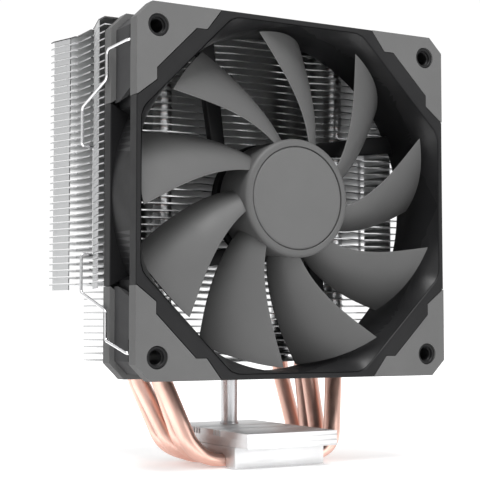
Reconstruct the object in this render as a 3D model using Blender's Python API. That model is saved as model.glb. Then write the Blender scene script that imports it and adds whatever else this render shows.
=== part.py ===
"""CPU tower cooler: heat pipes, a stack of fins, a 120 mm fan and its two wire clips.

Metres, +Z up. The origin is the centre of the face that rests on the processor. The fan faces -Y.
"""
from math import atan2, cos, hypot, pi, radians, sin, sqrt, tau

import bmesh
import bpy
from mathutils import Matrix, Vector

MM = 0.001
GAP = 0.3                      # clearance between neighbouring pieces, in millimetres
# All dimensions below are in millimetres.

# Fan
FAN_SIZE = 120.0
FAN_DEPTH = 25.0
FAN_HOLE_PITCH = 105.0
FAN_AXIS_Z = 90.0
FAN_FRONT_Y = -33.0
FLANGE = 5.0
THROAT_R = 58.0
BARREL_R = 59.5
CORNER_CHAMFER = 5.3
MOUTH_DIAGONAL = 83.3          # |x| + |z| of the mouth's diagonal sides
SCREW_HOLE_R = 2.15
PAD_SKIN = 1.5                 # thickness of a rubber corner pad
PAD_WAIST = 1.8                # how far a pad's sides pull in between the flanges
PAD_EYE_R = 3.7
PAD_END_DEG = 26.256           # where a pad ends, from the horizontal
# A pad's inner edge in the first quadrant, (x, z) from the fan's axis.
PAD_INNER = ((59.8, 29.5), (52.8, 34.9), (52.8, 38.7), (38.7, 52.8), (34.9, 52.8), (29.5, 59.8))
STRUT_WIDTH = 6.0
STRUT_DEPTH = 3.6
STRUT_START = (12.0, 18.3)
STRUT_END = (54.2, 24.3)
SEAT_R = 20.5
SEAT_DEPTH = 2.6
SEAT_WALL = 1.0
SEAT_FLOOR = 1.8               # thickness of the motor seat and of its bearing tube
TUBE_LENGTH = 8.0

# Rotor and motor
BLADES = 9
FIRST_TIP_DEG = 24.9
BLADE_TIP_R = 56.8
HUB_R = 20.0
HUB_DEPTH = 18.6
HUB_FRONT = 1.0                # behind the fan's front face
HUB_WALL = 1.6
BADGE_R = 17.2
BLADE_THICKNESS = 1.5
SHAFT_R = 1.5
SLEEVE_R = 3.6
YOKE_WALL = 0.9
MAGNET_WALL = 2.4
AIR_GAP = 0.8
STATOR_FRONT = 9.2             # behind the fan's front face
STATOR_HEIGHT = 6.0
POLE_HALF = 2.0
COIL_WALL = 1.55

# Heat pipes and base
PIPE_R = 3.0
PIPE_PITCH = 7.0
PIPE_FLAT = 0.7                # pressed height of a pipe in the base, as a share of its diameter
PIPE_LEGS = ((35.0, 0.0), (31.0, 10.5), (34.5, 20.7), (31.0, 31.2))
PIPE_BEND_X = 26.9
PIPE_BEND_R = 12.0
PIPE_KNEE_Z = 30.0
PIPE_KNEE_R = 16.0
PIPE_TOP_Z = 153.3
BASE_HALF_X = 17.5
LOWER_HALF_Y = 20.0
LOWER_TOP = 6.85
UPPER_FRONT_Y = -28.5
UPPER_BACK_Y = 29.0
UPPER_BOTTOM = 7.15
UPPER_TOP = 12.0
POST_R = 3.0
POST_Y = 15.5

# Fins
FIN_THICKNESS = 0.5
FIN_PITCH = 2.436
UPPER_FINS = 37
LOWER_FINS = 11
LOWER_FIRST_Z = 34.8
UPPER_FIRST_Z = 61.6
FIN_FRONT_Y = -7.7
FIN_BACK_Y = 40.3
LOWER_FIN_X = 47.0
FIN_SIDE = (
    (60.0, FIN_FRONT_Y), (60.0, -2.3), (56.3, 10.2), (54.2, 10.2), (54.2, 13.2), (56.3, 13.2),
    (56.3, 24.8), (60.3, 37.6), (60.3, FIN_BACK_Y),
)
PIPE_SLOT = (26.8, 39.2, -4.2, 35.4)       # x from, x to, y from, y to
TAB_DROP = 2.0
TAB_THICKNESS = 0.6

# Wire clips
WIRE_R = 0.6
CLIP_PIVOT_X = 59.9
CLIP_PIVOT_Y = FAN_FRONT_Y + 6.9
CLIP_WINDOW = ((56.3, 62.0), (5.0, 9.5), (47.0, 54.0))    # from the fan's axis and front face


def material(name, colour, roughness, metallic):
    made = bpy.data.materials.new(name)
    made.use_nodes = True
    shader = made.node_tree.nodes["Principled BSDF"]
    shader.inputs["Base Color"].default_value = (*colour, 1.0)
    shader.inputs["Roughness"].default_value = roughness
    shader.inputs["Metallic"].default_value = metallic
    made.diffuse_color = (*colour, 1.0)
    return made


def finish(name, mesh, look, pivot=(0.0, 0.0, 0.0), smooth=True):
    """Turn a mesh in millimetres into a named object in metres with its origin at pivot."""
    mesh.transform(Matrix.Translation(-Vector(pivot)))
    mesh.transform(Matrix.Scale(MM, 4))
    if smooth:
        mesh.shade_smooth()
        mesh.set_sharp_from_angle(angle=radians(35))
    mesh.materials.append(look)
    made = bpy.data.objects.new(name, mesh)
    made.location = Vector(pivot) * MM
    bpy.context.collection.objects.link(made)
    return made


def to_mesh(bm, name):
    bmesh.ops.recalc_face_normals(bm, faces=bm.faces)
    mesh = bpy.data.meshes.new(name)
    bm.to_mesh(mesh)
    bm.free()
    return mesh


def modelled(name, mesh):
    """A bare object for use in a boolean, still in millimetres."""
    made = bpy.data.objects.new(name, mesh)
    bpy.context.collection.objects.link(made)
    return made


def boolean(base_mesh, tool_meshes, operation):
    """Apply one exact boolean per tool and return the resulting mesh."""
    base = modelled("work", base_mesh)
    tools = []
    for tool_mesh in tool_meshes:
        tool = modelled("tool", tool_mesh)
        tools.append(tool)
        step = base.modifiers.new("cut", "BOOLEAN")
        step.operation = operation
        step.solver = "EXACT"
        step.object = tool
    evaluated = base.evaluated_get(bpy.context.evaluated_depsgraph_get())
    result = bpy.data.meshes.new_from_object(evaluated)
    for made in [base, *tools]:
        bpy.data.objects.remove(made)
    return result


def prism(outline, low, high, axis="Z", holes=()):
    """Extrude a closed outline. axis Z takes (x, y), axis Y takes (x, z), axis X takes (y, z)."""
    place = {
        "Z": lambda u, v, w: (u, v, w),
        "Y": lambda u, v, w: (u, w, v),
        "X": lambda u, v, w: (w, u, v),
    }[axis]
    bm = bmesh.new()
    edges = []
    for loop in [outline, *holes]:
        ring = [bm.verts.new(place(u, v, low)) for u, v in loop]
        edges += [bm.edges.new((ring[i], ring[i - 1])) for i in range(len(ring))]
    flat = bmesh.ops.triangle_fill(bm, use_beauty=True, edges=edges)
    faces = [item for item in flat["geom"] if isinstance(item, bmesh.types.BMFace)]
    grown = bmesh.ops.extrude_face_region(bm, geom=faces)
    moved = [item for item in grown["geom"] if isinstance(item, bmesh.types.BMVert)]
    bmesh.ops.translate(bm, verts=moved, vec=Vector(place(0, 0, high - low)))
    return to_mesh(bm, "prism")


def circle(radius, count, centre=(0.0, 0.0)):
    return [(centre[0] + radius * cos(tau * i / count), centre[1] + radius * sin(tau * i / count))
            for i in range(count)]


def fan_mesh(profile, count):
    """Turn a closed (radius, depth) profile about the fan's axis. Depth counts from the fan's front face."""
    bm = bmesh.new()
    rings = []
    for i in range(count):
        angle = tau * i / count
        rings.append([bm.verts.new((r * cos(angle), FAN_FRONT_Y + d, FAN_AXIS_Z + r * sin(angle)))
                      for r, d in profile])
    size = len(profile)
    for i in range(count):
        for j in range(size):
            bm.faces.new((rings[i - 1][j - 1], rings[i - 1][j], rings[i][j], rings[i][j - 1]))
    return to_mesh(bm, "turned")


def fan_disc(radius, front, back, count, hole=0.0, bevel=0.0):
    """A disc or, with a hole, a ring about the fan's axis."""
    if hole:
        return fan_mesh([(hole, front), (radius, front), (radius, back), (hole, back)], count)
    bm = bmesh.new()
    stations = [(radius - bevel, front), (radius, front + bevel), (radius, back)] if bevel else \
        [(radius, front), (radius, back)]
    rings = []
    for r, d in stations:
        rings.append([bm.verts.new((x, FAN_FRONT_Y + d, FAN_AXIS_Z + z)) for x, z in circle(r, count)])
    for low, high in zip(rings, rings[1:]):
        for i in range(count):
            bm.faces.new((low[i - 1], low[i], high[i], high[i - 1]))
    bm.faces.new(rings[0])
    bm.faces.new(rings[-1])
    return to_mesh(bm, "disc")


def sweep(path, radius, sides, squash=None):
    """A closed tube along a list of points. squash gives the vertical scale of the ring at a point."""
    bm = bmesh.new()
    points = [Vector(p) for p in path]
    rings = []
    side = None
    for i, point in enumerate(points):
        ahead = points[min(i + 1, len(points) - 1)] - point
        behind = point - points[max(i - 1, 0)]
        along = (ahead.normalized() + behind.normalized()).normalized()
        if side is None:
            side = Vector((0.0, 1.0, 0.0)).cross(along)
            if side.length < 0.1:
                side = Vector((1.0, 0.0, 0.0)).cross(along)
        side = (side - along * side.dot(along)).normalized()
        up = along.cross(side)
        scale = squash(point) if squash else 1.0
        ring = []
        for k in range(sides):
            angle = tau * (k + 0.5) / sides
            offset = (side * cos(angle) + up * sin(angle)) * radius
            offset.z *= scale
            ring.append(bm.verts.new(point + offset))
        rings.append(ring)
    for low, high in zip(rings, rings[1:]):
        for k in range(sides):
            bm.faces.new((low[k - 1], low[k], high[k], high[k - 1]))
    bm.faces.new(rings[0])
    bm.faces.new(rings[-1])
    return to_mesh(bm, "sweep")


def fillet(before, corner, after, radius, steps):
    """Points of an arc that rounds a corner between two straight runs."""
    before, corner, after = Vector(before), Vector(corner), Vector(after)
    back = (before - corner).normalized()
    ahead = (after - corner).normalized()
    half = back.angle(ahead) / 2
    reach = radius * cos(half) / sin(half)
    centre = corner + (back + ahead).normalized() * (radius / sin(half))
    start = corner + back * reach - centre
    end = corner + ahead * reach - centre
    turn = start.angle(end)
    return [centre + (start * sin(turn * (1 - i / steps)) + end * sin(turn * i / steps)) / sin(turn)
            for i in range(steps + 1)]


# Fan frame and pads

def mirror_angles(quadrant):
    """Repeat the angles of the first quadrant's lower half over the full circle."""
    half = quadrant + [90 - a for a in reversed(quadrant)]
    return [a + 90 * k for k in range(4) for a in half]


def square_radius(angle, inset):
    """Distance from the axis to the frame's chamfered square outline at an angle."""
    c, s = abs(cos(angle)), abs(sin(angle))
    side = FAN_SIZE / 2 - inset
    diagonal = (FAN_SIZE - CORNER_CHAMFER) - inset * sqrt(2)
    return min(side / max(c, s), diagonal / (c + s))


def mouth_radius(angle):
    c, s = abs(cos(angle)), abs(sin(angle))
    return max(THROAT_R, min(THROAT_R / max(c, s), MOUTH_DIAGONAL / (c + s)))


def pad_inner_radius(angle):
    """Distance from the axis to the inner edge of the corner pad at an angle in the first quadrant."""
    for (x0, z0), (x1, z1) in zip(PAD_INNER, PAD_INNER[1:]):
        low, high = atan2(z0, x0), atan2(z1, x1)
        if low - 1e-6 <= angle <= high + 1e-6:
            dx, dz = x1 - x0, z1 - z0
            return (x0 * dz - z0 * dx) / (cos(angle) * dz - sin(angle) * dx)
    return None


def frame_ring():
    """Flanges and barrel of the fan frame, with solid corners that are cut back for the rubber pads."""
    quadrant = [0.0, 8.0, 16.0, 22.0, PAD_END_DEG - 0.3, PAD_END_DEG + 0.1, 33.464, 36.242, 39.5, 42.354]
    bm = bmesh.new()
    columns = []
    for degrees in mirror_angles(quadrant):
        angle = radians(degrees)
        local = radians(degrees % 90)
        inner = pad_inner_radius(local)
        core = square_radius(angle, PAD_SKIN + GAP)
        step = PAD_SKIN + GAP
        if inner is None:
            core = square_radius(angle, 0.0)
            inner = core - 0.4 * (core - mouth_radius(angle))
            step = 0.0
        inner = min(inner, core - 0.2)
        padded = step > 0.0
        ledge = inner + (0.01 if padded else 0.3 * (core - inner))
        waist = square_radius(angle, PAD_SKIN + GAP + PAD_WAIST) if padded else min(BARREL_R, core - 0.4)
        flange = FLANGE - step
        mouth = mouth_radius(angle)
        depth = FAN_DEPTH
        profile = [
            (mouth, 0.0), (inner, 0.0), (ledge, step), (core, step), (core, flange), (waist, flange),
            (waist, depth - flange), (core, depth - flange), (core, depth - step), (ledge, depth - step),
            (inner, depth), (THROAT_R, depth), (THROAT_R, FLANGE),
        ]
        columns.append([bm.verts.new((r * cos(angle), FAN_FRONT_Y + d, FAN_AXIS_Z + r * sin(angle)))
                        for r, d in profile])
    size = len(columns[0])
    for i in range(len(columns)):
        for j in range(size):
            bm.faces.new((columns[i - 1][j - 1], columns[i - 1][j], columns[i][j], columns[i][j - 1]))
    bmesh.ops.triangulate(bm, faces=bm.faces)
    return to_mesh(bm, "frame_ring")


def turned(points, quarter):
    """Rotate (x, z) points by quarter turns about the fan's axis, and move them to its height."""
    angle = quarter * pi / 2
    c, s = round(cos(angle)), round(sin(angle))
    return [(x * c - z * s, FAN_AXIS_Z + x * s + z * c) for x, z in points]


def strut_outline():
    (x0, z0), (x1, z1) = STRUT_START, STRUT_END
    length = hypot(x1 - x0, z1 - z0)
    nx, nz = -(z1 - z0) / length * STRUT_WIDTH / 2, (x1 - x0) / length * STRUT_WIDTH / 2
    return [(x0 - nx, z0 - nz), (x1 - nx, z1 - nz), (x1 + nx, z1 + nz), (x0 + nx, z0 + nz)]


def motor_seat():
    """The shallow cup behind the motor, with the tube that holds the bearing."""
    tube_front = FAN_DEPTH - SEAT_DEPTH - TUBE_LENGTH
    seat_front = FAN_DEPTH - SEAT_DEPTH
    floor = FAN_DEPTH - 0.8
    rear = FAN_DEPTH - 0.1
    return fan_mesh([
        (SLEEVE_R + GAP, tube_front), (SLEEVE_R + SEAT_FLOOR, tube_front),
        (SLEEVE_R + SEAT_FLOOR, seat_front), (SEAT_R, seat_front), (SEAT_R, rear), (SEAT_R - SEAT_WALL, rear), (SEAT_R - SEAT_WALL, floor),
        (SLEEVE_R + GAP, floor)], 32)


def fan_frame(look):
    back = FAN_FRONT_Y + FAN_DEPTH
    struts = [prism(turned(strut_outline(), k), back - 0.2 - STRUT_DEPTH, back - 0.2, "Y") for k in range(4)]
    reach = FAN_HOLE_PITCH / 2
    holes = [prism(turned(circle(SCREW_HOLE_R, 14, (reach, reach)), k), FAN_FRONT_Y - 1, back + 1, "Y")
             for k in range(4)]
    mesh = boolean(frame_ring(), holes + [clip_window(k) for k in range(4)], "DIFFERENCE")
    return finish("fan_frame", boolean(mesh, [motor_seat(), *struts], "UNION"), look)


def clip_window(quarter):
    """A cutter for the opening through which a wire clip's end enters a corner."""
    sign_x, sign_z = ((1, 1), (-1, 1), (-1, -1), (1, -1))[quarter]
    (x0, x1), (d0, d1), (z0, z1) = CLIP_WINDOW
    outline = [(sign_x * x, FAN_AXIS_Z + sign_z * z) for x, z in ((x0, z0), (x1, z0), (x1, z1), (x0, z1))]
    return prism(outline, FAN_FRONT_Y + d0, FAN_FRONT_Y + d1, "Y")


def chamfered_corner(inset):
    side = FAN_SIZE / 2 - inset
    cut = CORNER_CHAMFER - inset * (2 - sqrt(2))
    return [(side, side - cut), (side - cut, side)]


def pad_outline(inset):
    """Outline of a corner pad in the first quadrant, just clear of the frame round it."""
    side = FAN_SIZE / 2 - inset
    end = PAD_INNER[0][1] + 1.5 * GAP
    start = min(side, PAD_INNER[0][0]) - 0.1
    inner = [(x + 0.2, z + 0.2) for x, z in reversed(PAD_INNER[1:-1])]
    return [(side, end), *chamfered_corner(inset), (end, side), (end, start), *inner, (start, end)]


def ear_outline(inset):
    """The room inside a pad for the frame's corner."""
    side = FAN_SIZE / 2 - inset
    return [(side, 20.0), *chamfered_corner(inset), (20.0, side), (20.0, 40.0), (40.0, 20.0)]


def corner_pad(name, quarter, look):
    """A rubber pad that wraps one corner over the frame's whole depth, with an eye over the screw hole."""
    front = FAN_FRONT_Y
    back = front + FAN_DEPTH
    reach = FAN_HOLE_PITCH / 2
    outer = turned(pad_outline(0.0), quarter)
    waist = turned(pad_outline(PAD_WAIST), quarter)
    ear = turned(ear_outline(PAD_SKIN), quarter)
    core = turned(ear_outline(PAD_SKIN + PAD_WAIST), quarter)
    lip = FLANGE - PAD_SKIN
    body = boolean(prism(outer, front, front + FLANGE, "Y"), [
        prism(waist, front + FLANGE - 0.1, back - FLANGE + 0.1, "Y"),
        prism(outer, back - FLANGE, back, "Y"),
    ], "UNION")
    body = boolean(body, [
        prism(ear, front + PAD_SKIN, front + lip, "Y"),
        prism(core, front + lip - 0.1, back - lip + 0.1, "Y"),
        prism(ear, back - lip, back - PAD_SKIN, "Y"),
        prism(turned(circle(PAD_EYE_R, 16, (reach, reach)), quarter), front - 1, back + 1, "Y"),
        clip_window(quarter),
    ], "DIFFERENCE")
    return finish(name, body, look)


# Rotor

def blade_mesh(index):
    """One swept blade, its root sunk into the hub's wall."""
    root_r = HUB_R - 0.8
    spans, chords = 6, 5
    bm = bmesh.new()
    sheets = []
    for side in (-1, 1):
        sheet = []
        for i in range(spans + 1):
            r = root_r + (BLADE_TIP_R - root_r) * i / spans
            s = (57.0 - r) / 37.0
            lead = (-15.2 * s - 14.6 * s * s, 2.0 + 0.6 * s)
            trail = (-25.6 - 17.6 * s - 8.8 * s * s, 17.5 - 5.5 * s)
            row = []
            for j in range(chords + 1):
                t = j / chords
                belly = sin(pi * t)
                turn = lead[0] + (trail[0] - lead[0]) * t - 2.5 * belly
                angle = radians(FIRST_TIP_DEG + 360 / BLADES * index + turn)
                depth = lead[1] + (trail[1] - lead[1]) * t - 0.9 * belly
                thick = BLADE_THICKNESS * (0.3 + 0.7 * belly) * (0.55 + 0.45 * s) / 2
                lean = angle + side * thick * 0.55 / r
                row.append(bm.verts.new((r * cos(lean), FAN_FRONT_Y + depth + side * thick * 0.83,
                                         FAN_AXIS_Z + r * sin(lean))))
            sheet.append(row)
        sheets.append(sheet)
    low, high = sheets
    for i in range(spans):
        for j in range(chords):
            bm.faces.new((low[i][j], low[i][j + 1], low[i + 1][j + 1], low[i + 1][j]))
            bm.faces.new((high[i][j], high[i + 1][j], high[i + 1][j + 1], high[i][j + 1]))
    rim = [(i, 0) for i in range(spans)] + [(spans, j) for j in range(chords)]
    rim += [(i, chords) for i in range(spans, 0, -1)] + [(0, j) for j in range(chords, 0, -1)]
    for a, b in zip(rim, rim[1:] + rim[:1]):
        bm.faces.new((low[a[0]][a[1]], low[b[0]][b[1]], high[b[0]][b[1]], high[a[0]][a[1]]))
    bmesh.ops.triangulate(bm, faces=bm.faces)
    return to_mesh(bm, "blade")


def impeller(look):
    top = HUB_FRONT
    cup = fan_mesh([
        (SHAFT_R + GAP, top + 1.1), (BADGE_R + GAP, top + 1.1), (BADGE_R + GAP, top), (HUB_R - 0.9, top),
        (HUB_R, top + 1.0), (HUB_R, top + HUB_DEPTH), (HUB_R - HUB_WALL, top + HUB_DEPTH),
        (HUB_R - HUB_WALL, top + 2.4), (SHAFT_R + 2.0, top + 2.4), (SHAFT_R + 2.0, top + 5.0),
        (SHAFT_R + GAP, top + 5.0)], 36)
    mesh = boolean(cup, [blade_mesh(k) for k in range(BLADES)], "UNION")
    return finish("impeller", mesh, look, pivot=(0.0, FAN_FRONT_Y, FAN_AXIS_Z))


def pole_outline(hub_r, outer_r):
    """Four poles with wide shoes round a hub, as (x, z) from the axis."""
    shoe = outer_r - 1.4
    half = []
    for r in (hub_r + 2.0, shoe - 0.2):
        half.append((r, POLE_HALF / r))
    half += [(shoe, 0.6), (outer_r, 0.6), (outer_r, 0.3)]
    pole = [(r, -a) for r, a in half] + [(outer_r, 0.0)] + list(reversed(half))
    return [(r * cos(a + tau * k / 4), r * sin(a + tau * k / 4)) for k in range(4) for r, a in pole]


def block_outline(x0, x1, half_z):
    return [(x0, -half_z), (x1, -half_z), (x1, half_z), (x0, half_z)]


def stator(looks, outer_r):
    """The motor's fixed core and the four coils on its poles."""
    hub_r = SLEEVE_R + SEAT_FLOOR + GAP
    front = FAN_FRONT_Y + STATOR_FRONT
    back = front + STATOR_HEIGHT
    bore_outline = turned(circle(hub_r, 16), 0)
    core = prism(turned(pole_outline(hub_r, outer_r), 0), front, back, "Y", holes=[bore_outline])
    finish("stator_core", core, looks["steel"])
    inner, outer = hub_r + 2.2, outer_r - 2.9
    bore = POLE_HALF + 0.35
    for k in range(4):
        coil = prism(turned(block_outline(inner, outer, bore + COIL_WALL), k), front - 1.6, back + 1.6, "Y")
        pole = prism(turned(block_outline(inner - 1, outer + 1, bore), k), front - GAP, back + GAP, "Y")
        finish(f"stator_winding_{k + 1}", boolean(coil, [pole], "DIFFERENCE"), looks["winding"], smooth=False)


def motor(looks):
    top = HUB_FRONT
    axis = (0.0, FAN_FRONT_Y, FAN_AXIS_Z)
    yoke_r = HUB_R - HUB_WALL - GAP
    yoke_back = top + HUB_DEPTH - 0.4
    boss_r = SHAFT_R + 2.0 + GAP
    finish("hub_badge", fan_disc(BADGE_R, top + 0.1, top + 0.8, 36, bevel=0.2), looks["hub"], axis)
    finish("rotor_shaft", fan_disc(SHAFT_R, top + 1.1 + GAP, FAN_DEPTH - 3.0, 16), looks["steel"], axis)
    yoke = fan_mesh([
        (boss_r, top + 2.7), (yoke_r, top + 2.7), (yoke_r, yoke_back), (yoke_r - YOKE_WALL, yoke_back),
        (yoke_r - YOKE_WALL, top + 3.5), (boss_r, top + 3.5)], 32)
    finish("rotor_yoke", yoke, looks["steel"], axis)
    magnet_r = yoke_r - YOKE_WALL - GAP
    magnet = fan_disc(magnet_r, top + 4.2, top + HUB_DEPTH - 1.0, 32, hole=magnet_r - MAGNET_WALL)
    finish("magnet_ring", magnet, looks["magnet"], axis)
    sleeve = fan_disc(SLEEVE_R, top + 5.4, FAN_DEPTH - 2.4, 20, hole=SHAFT_R + 0.06)
    finish("bearing_sleeve", sleeve, looks["bronze"])
    finish("shaft_clip", fan_disc(2.8, FAN_DEPTH - 2.0, FAN_DEPTH - 1.5, 16, hole=0.6), looks["hub"])
    stator(looks, magnet_r - MAGNET_WALL - AIR_GAP)
    seat_front = FAN_DEPTH - SEAT_DEPTH
    board = fan_disc(SEAT_R - 3.0, seat_front - 1.5, seat_front - GAP, 28, hole=SLEEVE_R + SEAT_FLOOR + GAP)
    finish("motor_board", board, looks["board"])
    finish("rear_label", fan_disc(SEAT_R - 1.4, FAN_DEPTH - 0.45, FAN_DEPTH - 0.25, 28), looks["label"])


# Base, pipes and post

def half_ellipse(centre_y, steps=6):
    """The arch over one pipe, from its right foot to its left foot, as (y, z)."""
    wide = PIPE_R + GAP
    tall = PIPE_R * PIPE_FLAT
    foot = 0.45
    points = []
    for i in range(steps + 1):
        angle = -foot + (pi + 2 * foot) * i / steps
        points.append((centre_y + wide * cos(angle), tall + (tall + GAP) * sin(angle)))
    points[0] = (points[0][0], 0.0)
    points[-1] = (points[-1][0], 0.0)
    return points


def base_blocks(looks):
    outline = [(-LOWER_HALF_Y, LOWER_TOP), (-LOWER_HALF_Y, 0.0)]
    for k in range(4):
        outline += reversed(half_ellipse((k - 1.5) * PIPE_PITCH))
    outline += [(LOWER_HALF_Y, 0.0), (LOWER_HALF_Y, LOWER_TOP)]
    finish("base_lower_block", prism(outline, -BASE_HALF_X, BASE_HALF_X, "X"), looks["base"], smooth=False)
    scallop = 0.5
    height = UPPER_TOP - UPPER_BOTTOM
    front = []
    back = []
    for i in range(7):
        z = UPPER_BOTTOM + height * i / 6
        dent = scallop if i % 2 else 0.0
        front.append((UPPER_FRONT_Y + dent, z))
        back.append((UPPER_BACK_Y - dent, z))
    grooves = []
    for centre in (-7.3, 7.2):
        for offset in (-2.0, 0.0, 2.0):
            grooves += [(centre + offset - 0.35, UPPER_TOP), (centre + offset - 0.35, UPPER_TOP - 2.0),
                        (centre + offset + 0.35, UPPER_TOP - 2.0), (centre + offset + 0.35, UPPER_TOP)]
    outline = front + grooves + list(reversed(back))
    finish("base_upper_block", prism(outline, -BASE_HALF_X, BASE_HALF_X, "X"), looks["base"], smooth=False)


def pipe_path(index):
    """Centre line of one U-shaped pipe, from its right tip down through the base to its left tip."""
    leg_x, leg_y = PIPE_LEGS[index]
    y = (index - 1.5) * PIPE_PITCH
    z = PIPE_R * PIPE_FLAT
    top = Vector((leg_x, leg_y, PIPE_TOP_Z - 1.2))
    knee = Vector((leg_x, leg_y, PIPE_KNEE_Z))
    heel = Vector((PIPE_BEND_X, y, z))
    middle = Vector((0.0, y, z))
    right = [top, *fillet(top, knee, heel, PIPE_KNEE_R, 3), *fillet(knee, heel, middle, PIPE_BEND_R, 6)]
    left = [Vector((-p.x, p.y, p.z)) for p in reversed(right)]
    return right + left


def flatten(point):
    """Vertical scale of a pipe's section: pressed in the base, round above it."""
    low = PIPE_R * PIPE_FLAT
    rise = min(1.0, max(0.0, (point.z - low) / 5.0))
    return PIPE_FLAT + (1 - PIPE_FLAT) * rise * rise * (3 - 2 * rise)


def heat_pipes(looks):
    for index in range(4):
        finish(f"heat_pipe_{index + 1}", sweep(pipe_path(index), PIPE_R, 10, flatten), looks["copper"])


def post(looks):
    outline = circle(POST_R, 20, (0.0, POST_Y))
    rod = prism(outline, UPPER_TOP + GAP, LOWER_FIRST_Z - TAB_DROP - GAP, "Z")
    finish("support_post", rod, looks["steel"])


# Fins

def mirrored(half):
    return list(half) + [(-x, y) for x, y in reversed(half)]


def slot(side):
    x0, x1, y0, y1 = PIPE_SLOT
    return [(side * x0, y0), (side * x1, y0), (side * x1, y1), (side * x0, y1)]


def wall(start, end, side, inset=0.12):
    """Plan outline of a folded tab strip that runs just inside a fin's side edge."""
    along = Vector((end[0] - start[0], end[1] - start[1])).normalized()
    inward = Vector((-along.y, along.x))
    if inward.x > 0:
        inward = -inward
    corners = []
    deep = inset + TAB_THICKNESS
    for point, depth in ((start, inset), (end, inset), (end, deep), (start, deep)):
        place = Vector(point) + inward * depth
        corners.append((side * place.x, place.y))
    return corners


def fin_stack(name, half, first_z, count, strips, look):
    """Flat fins joined by the closed strips that their folded side tabs form."""
    top = first_z + (count - 1) * FIN_PITCH + FIN_THICKNESS
    sheet = prism(mirrored(half), first_z, first_z + FIN_THICKNESS, "Z", holes=[slot(1), slot(-1)])
    bm = bmesh.new()
    for k in range(count):
        bm.from_mesh(sheet)
        bm.verts.ensure_lookup_table()
        fresh = bm.verts[k * len(sheet.vertices):]
        bmesh.ops.translate(bm, verts=fresh, vec=(0.0, 0.0, k * FIN_PITCH))
    plates = to_mesh(bm, "plates")
    bm = bmesh.new()
    for start, end in strips:
        for side in (1, -1):
            bm.from_mesh(prism(wall(start, end, side), first_z - TAB_DROP, top - 0.1, "Z"))
    walls = to_mesh(bm, "walls")
    return finish(name, boolean(plates, [walls], "UNION"), look, smooth=False)


def fins(looks):
    tabs = ((FIN_SIDE[1], FIN_SIDE[2]), ((57.5, 28.64), (59.9, 36.32)))
    fin_stack("fin_stack_upper", FIN_SIDE, UPPER_FIRST_Z, UPPER_FINS, tabs, looks["fin"])
    half = ((LOWER_FIN_X, FIN_FRONT_Y), (LOWER_FIN_X, FIN_BACK_Y))
    inner_wall = ((26.6, -3.0), (26.6, 34.0))
    fin_stack("fin_stack_lower", half, LOWER_FIRST_Z, LOWER_FINS, (inner_wall,), looks["fin"])


# Wire clips

def clip_path(side):
    """Centre line of a spring wire: upper corner window, notch in the fins, lower corner window."""
    arm = [
        (61.2, -12.6, 47.3), (61.2, -12.6, 37.7), (60.7, 9.2, 31.5), (60.7, 9.2, 18.4),
        (58.2, 9.4, 18.5), (57.2, 11.7, 18.5), (55.2, 11.8, 18.4),
    ]
    upper_end = [(57.4, CLIP_PIVOT_Y, 48.4), (CLIP_PIVOT_X, CLIP_PIVOT_Y, 48.3)]
    lower_end = [(CLIP_PIVOT_X, CLIP_PIVOT_Y, -51.2), (57.4, CLIP_PIVOT_Y, -51.3)]
    whole = upper_end + arm + [(x, y, -z) for x, y, z in reversed(arm)] + lower_end
    path = [Vector(whole[0])]
    for before, corner, after in zip(whole, whole[1:], whole[2:]):
        short = min((Vector(corner) - Vector(before)).length, (Vector(corner) - Vector(after)).length)
        path += fillet(before, corner, after, min(2.0, 0.35 * short), 2)
    path.append(Vector(whole[-1]))
    return [Vector((side * p.x, p.y, FAN_AXIS_Z + p.z)) for p in path]


def wire_clips(looks):
    for name, side in (("wire_clip_right", 1), ("wire_clip_left", -1)):
        pivot = (side * CLIP_PIVOT_X, CLIP_PIVOT_Y, FAN_AXIS_Z)
        finish(name, sweep(clip_path(side), WIRE_R, 6), looks["wire"], pivot)


def main():
    for made in list(bpy.data.objects):
        bpy.data.objects.remove(made)
    looks = {
        "frame": material("frame_black", (0.035, 0.035, 0.037), 0.5, 0.0),
        "pad": material("pad_rubber", (0.17, 0.17, 0.17), 0.75, 0.0),
        "blade": material("blade_grey", (0.13, 0.13, 0.13), 0.45, 0.0),
        "hub": material("hub_grey", (0.17, 0.17, 0.17), 0.5, 0.0),
        "steel": material("steel", (0.6, 0.6, 0.62), 0.35, 1.0),
        "magnet": material("magnet", (0.05, 0.05, 0.055), 0.6, 0.0),
        "bronze": material("sintered_bronze", (0.55, 0.4, 0.2), 0.45, 1.0),
        "winding": material("enamelled_copper", (0.55, 0.2, 0.08), 0.35, 1.0),
        "board": material("circuit_board", (0.02, 0.12, 0.05), 0.5, 0.0),
        "label": material("blank_label", (0.5, 0.5, 0.5), 0.5, 0.0),
        "base": material("base_aluminium", (0.75, 0.75, 0.76), 0.35, 1.0),
        "copper": material("pipe_copper", (0.75, 0.42, 0.32), 0.3, 1.0),
        "fin": material("fin_aluminium", (0.78, 0.79, 0.8), 0.35, 1.0),
        "wire": material("spring_wire", (0.75, 0.75, 0.76), 0.2, 1.0),
    }
    base_blocks(looks)
    heat_pipes(looks)
    post(looks)
    fins(looks)
    fan_frame(looks["frame"])
    corners = ("top_right", "top_left", "bottom_left", "bottom_right")
    for quarter, corner in enumerate(corners):
        corner_pad(f"corner_pad_{corner}", quarter, looks["pad"])
    impeller(looks["blade"])
    motor(looks)
    wire_clips(looks)


main()
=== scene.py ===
"""Looks of the CPU tower cooler: detailed fins, fan, pipes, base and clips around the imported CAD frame."""
from math import atan2, cos, hypot, pi, radians, sin, sqrt, tau

import bmesh
import bpy
from mathutils import Matrix, Vector


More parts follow.
